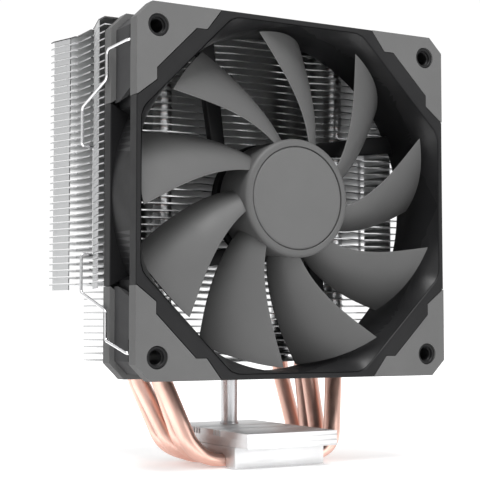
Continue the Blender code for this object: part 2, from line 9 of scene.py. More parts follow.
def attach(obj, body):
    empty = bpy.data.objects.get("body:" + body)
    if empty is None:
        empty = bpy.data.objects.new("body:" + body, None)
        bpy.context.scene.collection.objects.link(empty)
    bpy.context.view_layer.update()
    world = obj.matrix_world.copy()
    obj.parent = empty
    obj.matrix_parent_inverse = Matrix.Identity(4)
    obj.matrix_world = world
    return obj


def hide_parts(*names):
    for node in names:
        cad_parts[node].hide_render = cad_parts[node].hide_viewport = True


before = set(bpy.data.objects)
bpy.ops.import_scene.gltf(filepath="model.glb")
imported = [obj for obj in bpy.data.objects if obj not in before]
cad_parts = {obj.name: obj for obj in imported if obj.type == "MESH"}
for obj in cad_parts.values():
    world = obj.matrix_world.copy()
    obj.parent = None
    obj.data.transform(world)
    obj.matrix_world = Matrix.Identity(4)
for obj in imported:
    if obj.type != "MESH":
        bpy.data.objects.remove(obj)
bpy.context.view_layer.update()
MM = 0.001
# Pieces are drawn in millimetres and finish_piece turns them into metres. The floor and lights are in metres.

# Fan
AXIS_Z = 90.0
FRONT = -33.0
DEPTH = 25.0
SIZE = 120.0
CHAMFER = 5.3
HOLE_REACH = 52.5
THROAT_R = 58.0
MOUTH_DIAGONAL = 83.3
FLANGE = 5.0
SKIN = 1.5
WAIST = 1.8
GAP = 0.3
PAD_INNER = ((59.8, 29.5), (52.8, 34.9), (52.8, 38.7), (38.7, 52.8), (34.9, 52.8), (29.5, 59.8))
CLIP_WINDOW = ((56.3, 62.0), (5.0, 9.5), (47.0, 54.0))
CORNERS = ("top_right", "top_left", "bottom_left", "bottom_right")
BLADES = 9
FIRST_TIP_DEG = 24.9
HUB_R = 20.0
BADGE_R = 17.2
STRUT_ENDS = ((12.0, 18.3), (54.2, 24.3))
STRUT_HALF_WIDTHS = (2.5, 3.3)
STRUT_DEPTHS = (21.3, 24.7)

# Blade edges, as constant, linear and squared terms of s, which is 0 at BLADE_ZERO_R and 1 at the hub.
BLADE_ROOT_R, BLADE_TIP_R, BLADE_ZERO_R = HUB_R - 0.7, 56.7, 57.0
LEAD_DEG, LEAD_DEPTH = (0.0, -15.2, -14.6), (2.0, 0.6, 0.0)
TRAIL_DEG, TRAIL_DEPTH = (-25.6, -17.6, -8.8), (17.5, -5.5, 0.0)
BLADE_THICKNESS = (0.75, 0.65, 0.0)

# Pipes and base
PIPE_R = 3.0
PIPE_PITCH = 7.0
PIPE_FLAT = 0.7
PIPE_LEGS = ((35.0, 0.0), (31.0, 10.5), (34.5, 20.7), (31.0, 31.2))
PIPE_BEND_X, PIPE_BEND_R = 26.9, 12.0
PIPE_KNEE_Z, PIPE_KNEE_R = 30.0, 16.0
PIPE_TIP_Z = 152.0
BASE_HALF_X = 17.5
LOWER_BLOCK_HALF_Y, LOWER_BLOCK_TOP = 20.0, 6.95
UPPER_BLOCK_Y, UPPER_BLOCK_Z = (-28.5, 29.0), (7.02, 12.0)
BLOCK_SCALLOP = 0.22
GROOVE_CENTRES, GROOVE_PITCH, GROOVE_HALF_WIDTH, GROOVE_DEEP = (-7.3, 7.2), 2.0, 0.35, 2.0
POST_Y = 15.5

# Fins
FIN_THICKNESS = 0.4
FIN_PITCH = 2.436
UPPER_FINS, UPPER_FIRST_Z = 37, 61.6
LOWER_FINS, LOWER_FIRST_Z = 11, 34.8

# Camera, solved from the fan's corners and holes
CAMERA_PLACE = (-229.93, -398.34, 47.87)
CAMERA_YAW_DEG, CAMERA_PITCH_DEG = 29.53, 3.714
CAMERA_LENS, CAMERA_SENSOR = 97.34, 36.0


# Mesh helpers

def finish_piece(name, mesh, look, body="cooler", replaced=(), smooth=35.0):
    """Scale a mesh to metres, give it its material and attach it to its body."""
    mesh.transform(Matrix.Scale(MM, 4))
    if smooth:
        mesh.shade_smooth()
        mesh.set_sharp_from_angle(angle=radians(smooth))
    mesh.materials.clear()
    mesh.materials.append(look)
    piece = bpy.data.objects.new(name, mesh)
    bpy.context.collection.objects.link(piece)
    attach(piece, body)
    if replaced:
        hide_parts(*replaced)
    return piece


def to_mesh(bm, name="shape"):
    bmesh.ops.recalc_face_normals(bm, faces=bm.faces)
    mesh = bpy.data.meshes.new(name)
    bm.to_mesh(mesh)
    bm.free()
    return mesh


def evaluated_mesh(mesh, *setups):
    """Run modifiers over a mesh that is still in millimetres and return the result."""
    work = bpy.data.objects.new("work", mesh)
    bpy.context.collection.objects.link(work)
    for kind, values in setups:
        step = work.modifiers.new(kind.lower(), kind)
        for key, value in values.items():
            setattr(step, key, value)
    result = bpy.data.meshes.new_from_object(work.evaluated_get(bpy.context.evaluated_depsgraph_get()))
    bpy.data.objects.remove(work)
    return result


def boolean(mesh, tools, operation):
    helpers = []
    for tool in tools:
        helper = bpy.data.objects.new("tool", tool)
        bpy.context.collection.objects.link(helper)
        helpers.append(helper)
    cuts = [("BOOLEAN", {"operation": operation, "solver": "EXACT", "object": helper}) for helper in helpers]
    result = evaluated_mesh(mesh, *cuts)
    for helper in helpers:
        bpy.data.objects.remove(helper)
    return result


def bevelled(mesh, width, segments=3, angle=30.0):
    return evaluated_mesh(mesh, ("BEVEL", {
        "width": width, "segments": segments, "limit_method": "ANGLE", "angle_limit": radians(angle),
        "use_clamp_overlap": True,
    }))


PLACES = {
    "X": lambda u, v, w: (w, u, v),
    "Y": lambda u, v, w: (u, w, v),
    "Z": lambda u, v, w: (u, v, w),
}


def prism(outline, low, high, axis="Z", holes=()):
    """Extrude a closed outline. axis Z takes (x, y), axis Y takes (x, z), axis X takes (y, z)."""
    place = PLACES[axis]
    bm = bmesh.new()
    edges = []
    for loop in [outline, *holes]:
        ring = [bm.verts.new(place(u, v, low)) for u, v in loop]
        edges += [bm.edges.new((ring[i], ring[i - 1])) for i in range(len(ring))]
    flat = bmesh.ops.triangle_fill(bm, use_beauty=True, edges=edges)
    faces = [item for item in flat["geom"] if isinstance(item, bmesh.types.BMFace)]
    grown = bmesh.ops.extrude_face_region(bm, geom=faces)
    moved = [item for item in grown["geom"] if isinstance(item, bmesh.types.BMVert)]
    bmesh.ops.translate(bm, verts=moved, vec=Vector(place(0, 0, high - low)))
    bmesh.ops.dissolve_limit(bm, angle_limit=radians(0.5), verts=bm.verts, edges=bm.edges)
    return to_mesh(bm)


def circle(radius, count, centre=(0.0, 0.0)):
    return [(centre[0] + radius * cos(tau * i / count), centre[1] + radius * sin(tau * i / count))
            for i in range(count)]


def turned(points, quarter):
    """Rotate (x, z) points by quarter turns about the fan's axis, and move them to its height."""
    c, s = round(cos(quarter * pi / 2)), round(sin(quarter * pi / 2))
    return [(x * c - z * s, AXIS_Z + x * s + z * c) for x, z in points]


def join_rings(bm, rings):
    """Faces between each closed ring and the one before it; the first follows on from the last."""
    for i in range(len(rings)):
        for j in range(len(rings[0])):
            bm.faces.new((rings[i - 1][j - 1], rings[i - 1][j], rings[i][j], rings[i][j - 1]))


def spun(profile, count, centre, axis):
    """Turn a closed (radius, height) profile about a line along axis Y or Z."""
    place = PLACES[axis]
    bm = bmesh.new()
    rings = []
    for i in range(count):
        angle = tau * i / count
        rings.append([bm.verts.new(place(centre[0] + r * cos(angle), centre[1] + r * sin(angle), h))
                      for r, h in profile])
    join_rings(bm, rings)
    return to_mesh(bm)


def lathe(profile, count, centre=(0.0, AXIS_Z)):
    """Turn a closed (radius, depth behind the fan's front face) profile about a line along Y."""
    return spun([(r, FRONT + d) for r, d in profile], count, centre, "Y")


def sweep(points, radius, sides, section=None, round_ends=0):
    """A closed tube along points. section(point) gives (vertical scale, flat floor height or None)."""
    bm = bmesh.new()
    points = [Vector(p) for p in points]
    rings = []
    side = None
    for i, point in enumerate(points):
        ahead = points[min(i + 1, len(points) - 1)] - point
        behind = point - points[max(i - 1, 0)]
        along = (ahead.normalized() + behind.normalized()).normalized()
        if side is None:
            side = Vector((0.0, 1.0, 0.0)).cross(along)
            if side.length < 0.1:
                side = Vector((1.0, 0.0, 0.0)).cross(along)
        side = (side - along * side.dot(along)).normalized()
        up = along.cross(side)
        scale, floor = section(point) if section else (1.0, None)
        ring = []
        for k in range(sides):
            angle = tau * (k + 0.5) / sides
            offset = (side * cos(angle) + up * sin(angle)) * radius
            offset.z *= scale
            place = point + offset
            if floor is not None:
                place.z = max(place.z, floor)
            ring.append(bm.verts.new(place))
        rings.append(ring)
    for low, high in zip(rings, rings[1:]):
        for k in range(sides):
            bm.faces.new((low[k - 1], low[k], high[k], high[k - 1]))
    ends = [(points[0], (points[0] - points[1]).normalized(), rings[0]),
            (points[-1], (points[-1] - points[-2]).normalized(), rings[-1])]
    for centre, out, ring in ends:
        last = ring
        for step in range(1, round_ends + 1):
            angle = pi / 2 * step / (round_ends + 1)
            rise = out * radius * 0.8 * sin(angle)
            fresh = [bm.verts.new(centre + (v.co - centre) * cos(angle) + rise) for v in ring]
            for k in range(sides):
                bm.faces.new((last[k - 1], last[k], fresh[k], fresh[k - 1]))
            last = fresh
        bm.faces.new(last)
    return to_mesh(bm)


def fillet(before, corner, after, radius, steps):
    """Points of an arc that rounds a corner between two straight runs."""
    before, corner, after = Vector(before), Vector(corner), Vector(after)
    back = (before - corner).normalized()
    ahead = (after - corner).normalized()
    half = back.angle(ahead) / 2
    reach = radius * cos(half) / sin(half)
    centre = corner + (back + ahead).normalized() * (radius / sin(half))
    start = corner + back * reach - centre
    end = corner + ahead * reach - centre
    turn = start.angle(end)
    return [centre + (start * sin(turn * (1 - i / steps)) + end * sin(turn * i / steps)) / sin(turn)
            for i in range(steps + 1)]


# Materials

def new_material(name):
    made = bpy.data.materials.new(name)
    made.use_nodes = True
    tree = made.node_tree
    return made, tree, tree.nodes["Principled BSDF"]


def noise(tree, scale, detail=3.0, stretch=(1.0, 1.0, 1.0)):
    """Noise over the object's own coordinates, in metres, stretched by a mapping."""
    place = tree.nodes.new("ShaderNodeTexCoord")
    mapping = tree.nodes.new("ShaderNodeMapping")
    mapping.inputs["Scale"].default_value = stretch
    texture = tree.nodes.new("ShaderNodeTexNoise")
    texture.inputs["Scale"].default_value = scale
    texture.inputs["Detail"].default_value = detail
    tree.links.new(place.outputs["Object"], mapping.inputs["Vector"])
    tree.links.new(mapping.outputs["Vector"], texture.inputs["Vector"])
    return texture.outputs["Fac"]


def ramp(tree, source, low, high, start=0.3, end=0.7):
    """Map noise to a span of colours (3 numbers) or values (1 number)."""
    node = tree.nodes.new("ShaderNodeValToRGB")
    node.color_ramp.elements[0].position = start
    node.color_ramp.elements[1].position = end
    for element, value in zip(node.color_ramp.elements, (low, high)):
        element.color = (*value, 1.0) if hasattr(value, "__len__") else (value, value, value, 1.0)
    tree.links.new(source, node.inputs["Fac"])
    return node.outputs["Color"]


def bump(tree, shader, source, strength, distance):
    node = tree.nodes.new("ShaderNodeBump")
    node.inputs["Strength"].default_value = strength
    node.inputs["Distance"].default_value = distance
    tree.links.new(source, node.inputs["Height"])
    tree.links.new(node.outputs["Normal"], shader.inputs["Normal"])


def plastic(name, dark, light, rough, specular, grain=2600.0, strength=0.18):
    """Moulded plastic or rubber: fine spark-eroded grain, slight cloudiness and uneven gloss."""
    made, tree, shader = new_material(name)
    clouds = noise(tree, 45.0, 4.0)
    tree.links.new(ramp(tree, clouds, dark, light), shader.inputs["Base Color"])
    gloss = ramp(tree, noise(tree, 160.0, 3.0), rough - 0.05, rough + 0.06)
    tree.links.new(gloss, shader.inputs["Roughness"])
    shader.inputs["Specular IOR Level"].default_value = specular
    bump(tree, shader, noise(tree, grain, 2.0), strength, 0.00004)
    return made


def metal(name, dark, light, rough, stretch=(1.0, 1.0, 1.0), scale=900.0, strength=0.12, spread=0.07):
    """Bare metal: colour and gloss drift softly, and rolling or brushing marks follow stretch."""
    made, tree, shader = new_material(name)
    shader.inputs["Metallic"].default_value = 1.0
    marks = noise(tree, scale, 3.0, stretch)
    tree.links.new(ramp(tree, noise(tree, 60.0, 3.0), dark, light), shader.inputs["Base Color"])
    tree.links.new(ramp(tree, marks, rough - spread, rough + spread), shader.inputs["Roughness"])
    bump(tree, shader, marks, strength, 0.00002)
    return made


LOOKS = {
    "frame": plastic("frame_black", (0.0075, 0.0075, 0.008), (0.0105, 0.0105, 0.011), 0.42, 0.12),
    "flare": plastic("flare_black", (0.007, 0.007, 0.0075), (0.016, 0.016, 0.0165), 0.36, 0.22, 1500.0, 0.6),
    "pad": plastic("pad_rubber", (0.084, 0.084, 0.084), (0.093, 0.093, 0.093), 0.74, 0.12, 1900.0, 0.25),
    # painted shade: the waist is the pads' own rubber, coloured darker for the shadow between the flanges
    "waist": plastic("waist_rubber_painted_shade", (0.034, 0.034, 0.035), (0.041, 0.041, 0.042), 0.7, 0.12, 1900.0, 0.25),
    "blade": plastic("blade_grey", (0.066, 0.066, 0.066), (0.073, 0.073, 0.073), 0.48, 0.22),
    "hub": plastic("hub_grey", (0.080, 0.080, 0.080), (0.087, 0.087, 0.087), 0.6, 0.18),
    "fin": metal("fin_aluminium", (0.46, 0.464, 0.468), (0.55, 0.555, 0.56), 0.36, (1.0, 0.12, 1.0), 700.0),
    # painted shade: the top fin's cut edges are the same aluminium, coloured near black for shade
    "edge": metal("fin_top_edge_painted_shade", (0.05, 0.05, 0.05), (0.08, 0.08, 0.08), 0.4, (1.0, 0.12, 1.0), 700.0),
    "base": metal("base_aluminium", (0.60, 0.60, 0.604), (0.67, 0.67, 0.675), 0.44,
                  (0.04, 1.0, 1.0), 1400.0, 0.1),
    "copper": metal("pipe_copper", (0.78, 0.485, 0.40), (0.87, 0.575, 0.49), 0.34,
                    (1.0, 1.0, 0.2), 420.0, 0.05, 0.05),
    "post": metal("post_steel", (0.44, 0.44, 0.45), (0.54, 0.54, 0.55), 0.3, (1.0, 1.0, 0.05), 900.0),
    "wire": metal("spring_wire", (0.60, 0.60, 0.61), (0.70, 0.70, 0.71), 0.22,
                  (1.0, 1.0, 1.0), 500.0, 0.05, 0.04),
    "steel": metal("motor_steel", (0.42, 0.42, 0.44), (0.52, 0.52, 0.54), 0.35, (1.0, 1.0, 1.0), 600.0),
    "bronze": metal("sintered_bronze", (0.42, 0.28, 0.12), (0.52, 0.36, 0.17), 0.5,
                    (1.0, 1.0, 1.0), 2200.0, 0.4),
    "winding": metal("enamelled_copper", (0.45, 0.14, 0.05), (0.6, 0.22, 0.08), 0.3,
                     (0.2, 6.0, 0.2), 900.0, 0.6),
    "magnet": plastic("magnet_ferrite", (0.03, 0.03, 0.032), (0.05, 0.05, 0.053), 0.6, 0.4),
    "board": plastic("board_green", (0.010, 0.07, 0.03), (0.016, 0.1, 0.045), 0.4, 0.5, 900.0, 0.3),
    "label": plastic("label_paper", (0.42, 0.42, 0.42), (0.5, 0.5, 0.5), 0.55, 0.4, 900.0, 0.1),
}


# Camera, floor and lights

def camera():
    data = bpy.data.cameras.new("view")
    data.lens = CAMERA_LENS
    data.sensor_width = CAMERA_SENSOR
    made = bpy.data.objects.new("view", data)
    made.location = Vector(CAMERA_PLACE) * MM
    yaw, pitch = radians(CAMERA_YAW_DEG), radians(CAMERA_PITCH_DEG)
    ahead = Vector((sin(yaw) * cos(pitch), cos(yaw) * cos(pitch), sin(pitch)))
    made.rotation_mode = "QUATERNION"
    made.rotation_quaternion = ahead.to_track_quat("-Z", "Y")
    data.clip_start = 0.01
    bpy.context.collection.objects.link(made)
    bpy.context.scene.camera = made


def area_light(name, place, target, size, watts):
    data = bpy.data.lights.new(name, "AREA")
    data.shape = "DISK"
    data.size = size
    data.energy = watts
    made = bpy.data.objects.new(name, data)
    made.location = place
    made.rotation_mode = "QUATERNION"
    made.rotation_quaternion = (Vector(target) - Vector(place)).to_track_quat("-Z", "Y")
    bpy.context.collection.objects.link(made)


def studio():
    """A white floor just under the base, a world that is brighter towards +Y, and two soft lights."""
    bm = bmesh.new()
    bmesh.ops.create_grid(bm, x_segments=1, y_segments=1, size=12.0)
    mesh = to_mesh(bm, "floor")
    floor = bpy.data.objects.new("floor", mesh)
    floor.location = (0.0, 0.0, -0.0004)
    look, tree, shader = new_material("floor_white")
    tree.links.new(ramp(tree, noise(tree, 3.0), 0.9, 0.92), shader.inputs["Base Color"])
    shader.inputs["Roughness"].default_value = 0.9
    shader.inputs["Specular IOR Level"].default_value = 0.1
    shader.inputs["Emission Color"].default_value = (1.0, 1.0, 1.0, 1.0)
    shader.inputs["Emission Strength"].default_value = 0.32
    mesh.materials.append(look)
    bpy.context.collection.objects.link(floor)
    world = bpy.data.worlds.new("studio")
    world.use_nodes = True
    sky = world.node_tree
    place = sky.nodes.new("ShaderNodeTexCoord")
    axes = sky.nodes.new("ShaderNodeSeparateXYZ")
    sky.links.new(place.outputs["Generated"], axes.inputs["Vector"])
    sky.links.new(ramp(sky, axes.outputs["Y"], 0.75, 1.0, 0.0, 0.35), sky.nodes["Background"].inputs["Color"])
    sky.nodes["Background"].inputs["Strength"].default_value = 1.03
    bpy.context.scene.world = world
    bpy.context.scene.view_settings.view_transform = "Standard"
    area_light("key", (-0.25, -0.45, 1.0), (0.0, 0.0, 0.09), 0.7, 16.0)
    area_light("fill", (0.5, -1.0, 0.3), (0.0, 0.0, 0.09), 0.8, 3.0)


# Fins

def tab(start, end, side):
    """One folded tab: a thin plate that hangs from a fin's side edge to just above the fin below."""
    along = Vector((end[0] - start[0], end[1] - start[1])).normalized()
    inward = Vector((-along.y, along.x))
    if inward.x > 0:
        inward = -inward
    corners = []
    for point, depth in ((start, 0.12), (end, 0.12), (end, 0.5), (start, 0.5)):
        place = Vector(point) + inward * depth
        corners.append((side * place.x, place.y))
    return prism(corners, FIN_THICKNESS - FIN_PITCH + 0.32, 0.05, "Z")


def collar(x, y):
    """The drawn collar that grips a pipe, flared where it leaves the fin."""
    top = FIN_PITCH - 0.08
    profile = [(3.04, 0.0), (3.04, top), (3.26, top), (3.3, 0.95), (3.55, 0.55), (4.1, 0.4), (4.1, 0.05)]
    return spun(profile, 28, (x, y), "Z")


def front_edge(half_width):
    """The fin's front edge: shallow scoops between straight lands, from the right side to the middle."""
    front = -7.6
    scoop = 2.0
    points = []
    for low, high in ((0.86, 0.62), (0.46, 0.16)):
        for i in range(9):
            t = i / 8
            points.append((half_width * (low + (high - low) * t), front + scoop * sin(pi * t) ** 2))
    return points


UPPER_SIDE = (
    (60.0, -7.6), (60.0, -2.3), (56.4, 10.0), (56.3, 10.8), (54.4, 10.8), (54.4, 12.8), (56.3, 12.8),
    (56.3, 24.4), (55.9, 25.2), (56.9, 25.6), (57.3, 28.0), (60.2, 37.6), (60.2, 40.2),
)
LOWER_SIDE = ((47.0, -7.6), (47.0, 39.6), (46.4, 40.2))
UPPER_TABS = (((59.9, -2.0), (56.4, 9.9)), ((57.5, 28.8), (60.1, 37.4)))
BACK_NOTCH = ((8.0, 40.2), (6.0, 38.8), (-6.0, 38.8), (-8.0, 40.2))


def fin_mesh(side, tabs):
    """One fin with its pipe holes, collars and folded tabs, its underside at z = 0."""
    right = list(reversed(front_edge(side[0][0]))) + list(side)
    outline = right + list(BACK_NOTCH) + [(-x, y) for x, y in reversed(right)]
    holes = [circle(3.1, 24, (s * x, y)) for s in (1, -1) for x, y in PIPE_LEGS]
    bm = bmesh.new()
    bm.from_mesh(prism(outline, 0.0, FIN_THICKNESS, "Z", holes))
    for s in (1, -1):
        for x, y in PIPE_LEGS:
            bm.from_mesh(collar(s * x, y))
        for start, end in tabs:
            bm.from_mesh(tab(start, end, s))
    mesh = bpy.data.meshes.new("fin")
    bm.to_mesh(mesh)
    bm.free()
    return mesh


def top_fin(mesh):
    """A copy of a fin for the top of the stack, with the outer cut edges of its sheet painted dark as shade.
    """
    made = mesh.copy()
    made.materials.append(LOOKS["edge"])
    for face in made.polygons:
        on_sheet = min(made.vertices[i].co.z for i in face.vertices) > -0.1 * MM
        at_rim = abs(face.center.x) > 50 * MM or abs(face.center.y) > 36 * MM
        # the rim's cut edges of the top sheet take the painted-shade slot
        if abs(face.normal.z) < 0.5 and on_sheet and at_rim:
            face.material_index = 1
    return made


def fin_row(label, side, tabs, count, first_z, node):
    """Repeat one fin upwards. The first replaces the CAD stack, and the others share its mesh.

    Only the top fin of a stack with tabs has a mesh of its own, for the painted shade on its edges.
    """
    first = finish_piece(f"{label}_01", fin_mesh(side, tabs), LOOKS["fin"], replaced=(node,), smooth=30.0)
    first.location.z = first_z * MM
    for k in range(1, count):
        mesh = first.data if k < count - 1 or not tabs else top_fin(first.data)
        copy = bpy.data.objects.new(f"{label}_{k + 1:02d}", mesh)
        copy.location = (0.0, 0.0, (first_z + k * FIN_PITCH) * MM)
        bpy.context.collection.objects.link(copy)
        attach(copy, "cooler")


# Fan frame

def square_radius(angle, inset):
    c, s = abs(cos(angle)), abs(sin(angle))
    side = SIZE / 2 - inset
    diagonal = (SIZE - CHAMFER) - inset * sqrt(2)
    return min(side / max(c, s), diagonal / (c + s))


def mouth_radius(angle):
    """The rounded octagonal mouth, with a soft minimum where a straight side meets a diagonal one."""
    c, s = abs(cos(angle)), abs(sin(angle))
    straight = (THROAT_R + 0.1) / max(c, s)
    slanted = MOUTH_DIAGONAL / (c + s)
    blend = 2.4
    gap = max(0.0, 1 - abs(straight - slanted) / blend)
    return max(THROAT_R + 0.05, min(straight, slanted) - blend * gap * gap / 4)


def pad_inner_radius(angle):
    for (x0, z0), (x1, z1) in zip(PAD_INNER, PAD_INNER[1:]):
        low, high = atan2(z0, x0), atan2(z1, x1)
        if low - 1e-6 <= angle <= high + 1e-6:
            dx, dz = x1 - x0, z1 - z0
            return (x0 * dz - z0 * dx) / (cos(angle) * dz - sin(angle) * dx)
    return SIZE


def frame_profile(angle, padded):
    """(radius, depth) stations of the frame's section at one angle, from the throat round to the throat.

    The four stations from land on are flat: they only divide the front face.
    """
    mouth = mouth_radius(angle)
    square = square_radius(angle, 0.0)
    step = SKIN + GAP if padded else 0.0
    core = square_radius(angle, step)
    inner = min(pad_inner_radius(angle % (pi / 2)), square - 0.4) if padded else square - 0.25
    waist = square_radius(angle, SKIN + GAP + WAIST) if padded else min(59.5, core - 0.3)
    flange = FLANGE - step
    room = inner - mouth
    crease = 0.7 * min(1.0, room / 2.0)
    land = mouth + min(3.3, 0.6 * room)
    flare = [(THROAT_R + (mouth - THROAT_R) * (1 - t) ** 2.0, 0.3 + 9.7 * t)
             for t in (0.0, 0.15, 0.3, 0.45, 0.6, 0.8, 1.0)]
    return [
        *reversed(flare), (mouth + 0.1 * crease, 0.2 + 0.8 * crease), (mouth + 0.6 * crease, 0.1),
        (mouth + 0.8 * crease, 0.0), (land, 0.0), (land + 0.1, 0.0), (land + 0.35, 0.0), (land + 0.45, 0.0),
        (inner, 0.0), (inner + 0.01, step if padded else 0.1), (core, step + 0.3),
        (core, flange - 0.25), (core - 0.25, flange), (waist, flange), (waist, DEPTH - flange),
        (core - 0.25, DEPTH - flange), (core, DEPTH - flange + 0.25), (core, DEPTH - step - 0.3),
        (inner + 0.01, DEPTH - step if padded else DEPTH - 0.1), (inner, DEPTH), (THROAT_R + 0.4, DEPTH),
        (THROAT_R, DEPTH - 0.4),
    ]


def frame_angles():
    """Fine steps round the fan, with extra columns where pads begin and at the chamfers. (angle, padded)."""
    edge = 26.38
    plain = [2.0 * i for i in range(13)] + [25.3, edge]
    bends = [edge + 0.05, 27.2, 29.0, 31.0, 33.464, 34.8, 36.242, 38.0, 40.0, 42.354, 43.7]
    half = [(a, False) for a in plain] + [(a, True) for a in bends]
    quadrant = half + [(90 - a, p) for a, p in reversed(half) if a > 0]
    return [(radians(a + 90 * k), p) for k in range(4) for a, p in quadrant]


def frame_shell():
    bm = bmesh.new()
    columns = []
    for angle, padded in frame_angles():
        columns.append([bm.verts.new((r * cos(angle), FRONT + d, AXIS_Z + r * sin(angle)))
                        for r, d in frame_profile(angle, padded)])
    join_rings(bm, columns)
    bmesh.ops.triangulate(bm, faces=bm.faces)
    return to_mesh(bm)


def clip_window(quarter):
    sign_x, sign_z = ((1, 1), (-1, 1), (-1, -1), (1, -1))[quarter]
    (x0, x1), (d0, d1), (z0, z1) = CLIP_WINDOW
    outline = [(sign_x * x, AXIS_Z + sign_z * z) for x, z in ((x0, z0), (x1, z0), (x1, z1), (x0, z1))]
    return prism(outline, FRONT + d0, FRONT + d1, "Y")


def screw_eye(quarter):
    """The lined screw hole of one corner, countersunk at both flanges."""
    outer, rim, bore = 3.62, 2.6, 2.25
    near, far = 0.55, DEPTH - 0.55
    profile = [
        (rim + 0.2, near), (outer - 0.2, near), (outer, near + 0.2), (outer, far - 0.2), (outer - 0.2, far),
        (rim + 0.2, far), (rim, far - 0.2), (rim, far - 1.0), (bore, far - 1.3), (bore, near + 1.3),
        (rim, near + 1.0), (rim, near + 0.2),
    ]
    centre = turned([(HOLE_REACH, HOLE_REACH)], quarter)[0]
    return lathe(profile, 40, centre)


def fan_frame():
    drills = [prism(turned(circle(3.58, 40, (HOLE_REACH, HOLE_REACH)), k), FRONT - 1, FRONT + DEPTH + 1, "Y")
              for k in range(4)]
    shell = boolean(frame_shell(), drills + [clip_window(k) for k in range(4)], "DIFFERENCE")
    piece = finish_piece("fan_frame_shell", shell, LOOKS["frame"], replaced=("fan_frame",), smooth=38.0)
    piece.data.materials.append(LOOKS["flare"])
    for face in piece.data.polygons:
        x, depth, z = face.center.x / MM, face.center.y / MM - FRONT, face.center.z / MM - AXIS_Z
        if depth < 10.0 and THROAT_R + 0.1 < hypot(x, z) < mouth_radius(atan2(z, x)) + 0.05:
            face.material_index = 1
    for k, corner in enumerate(CORNERS):
        finish_piece(f"screw_eye_{corner}", screw_eye(k), LOOKS["frame"], smooth=30.0)
    (x0, z0), (x1, z1) = STRUT_ENDS
    inner_half, outer_half = STRUT_HALF_WIDTHS
    length = hypot(x1 - x0, z1 - z0)
    nx, nz = -(z1 - z0) / length, (x1 - x0) / length
    outline = [(x0 - nx * inner_half, z0 - nz * inner_half), (x1 - nx * outer_half, z1 - nz * outer_half),
               (x1 + nx * outer_half, z1 + nz * outer_half), (x0 + nx * inner_half, z0 + nz * inner_half)]
    for k in range(4):
        strut = bevelled(prism(turned(outline, k), *(FRONT + depth for depth in STRUT_DEPTHS), "Y"), 0.6)
        finish_piece(f"frame_strut_{k + 1}", strut, LOOKS["frame"])
    seat = lathe([(3.9, 15.0), (5.1, 15.0), (5.4, 15.3), (5.4, 22.0), (5.8, 22.4), (19.6, 22.4), (20.3, 22.9),
                  (20.5, 23.6), (20.5, 24.5), (20.1, 24.9), (19.5, 24.9), (19.5, 24.2), (3.9, 24.2)], 96)
    finish_piece("motor_seat", seat, LOOKS["frame"])


# Corner pads

def chamfered_corner(inset):
    side = SIZE / 2 - inset
    cut = CHAMFER - inset * (2 - sqrt(2))
    return [(side, side - cut), (side - cut, side)]


def pad_outline(inset):
    side = SIZE / 2 - inset
    end = PAD_INNER[0][1] + 1.5 * GAP
    start = min(side, PAD_INNER[0][0]) - 0.1
    inner = [(x + 0.2, z + 0.2) for x, z in reversed(PAD_INNER[1:-1])]
    return [(side, end), *chamfered_corner(inset), (end, side), (end, start), *inner, (start, end)]


def ear_outline(inset):
    side = SIZE / 2 - inset
    return [(side, 20.0), *chamfered_corner(inset), (20.0, side), (20.0, 40.0), (40.0, 20.0)]


def waist_trim(quarter, across):
    """A wedge that slants the end of a pad's waist, from the rear flange forward."""
    near, far = 35.0, 29.0
    bm = bmesh.new()
    base = []
    for depth, edge in ((FLANGE, near), (DEPTH - FLANGE, far)):
        for u, w in ((25.0, 40.0), (edge, 40.0), (edge, 64.0), (25.0, 64.0)):
            x, z = (w, u) if across else (u, w)
            px, pz = turned([(x, z)], quarter)[0]
            base.append(bm.verts.new((px, FRONT + depth, pz)))
    for face in ((0, 1, 2, 3), (4, 5, 6, 7), (0, 1, 5, 4), (1, 2, 6, 5), (2, 3, 7, 6), (3, 0, 4, 7)):
        bm.faces.new([base[i] for i in face])
    return to_mesh(bm)


def corner_pad(quarter):
    """A rubber pad that wraps a corner from flange to flange, softly rounded on every edge."""
    back = FRONT + DEPTH
    lip = FLANGE - SKIN
    outer = turned(pad_outline(0.0), quarter)
    waist = turned(pad_outline(WAIST), quarter)
    ear = turned(ear_outline(SKIN), quarter)
    core = turned(ear_outline(SKIN + WAIST), quarter)
    middle = boolean(prism(waist, FRONT + FLANGE - 0.6, back - FLANGE + 0.6, "Y"),
                     [waist_trim(quarter, True), waist_trim(quarter, False)], "DIFFERENCE")
    body = boolean(prism(outer, FRONT, FRONT + FLANGE, "Y"),
                   [middle, prism(outer, back - FLANGE, back, "Y")], "UNION")
    eye = prism(turned(circle(3.7, 48, (HOLE_REACH, HOLE_REACH)), quarter), FRONT - 1, back + 1, "Y")
    hollowed = boolean(body, [
        prism(ear, FRONT + SKIN, FRONT + lip, "Y"),
        prism(core, FRONT + lip - 0.1, back - lip + 0.1, "Y"),
        prism(ear, back - lip, back - SKIN, "Y"),
        eye,
        clip_window(quarter),
    ], "DIFFERENCE")
    return bevelled(hollowed, 0.4, 3, 40.0)


def corner_pads():
    """The pads' waist, between the flanges, has a darker matt skin than the faces: the darkening is painted
    shade on the same rubber, for the shadow between the flanges.
    """
    for quarter, corner in enumerate(CORNERS):
        piece = finish_piece(f"rubber_pad_{corner}", corner_pad(quarter), LOOKS["pad"],
                             replaced=(f"corner_pad_{corner}",), smooth=30.0)
        # slot 1 is the painted-shade rubber, given to the faces of the waist between the flanges
        piece.data.materials.append(LOOKS["waist"])
        for face in piece.data.polygons:
            depth = face.center.y / MM - FRONT
            if FLANGE + 0.1 < depth < DEPTH - FLANGE - 0.1:
                face.material_index = 1


# Rotor

def law(terms, s):
    constant, linear, squared = terms
    return constant + linear * s + squared * s * s


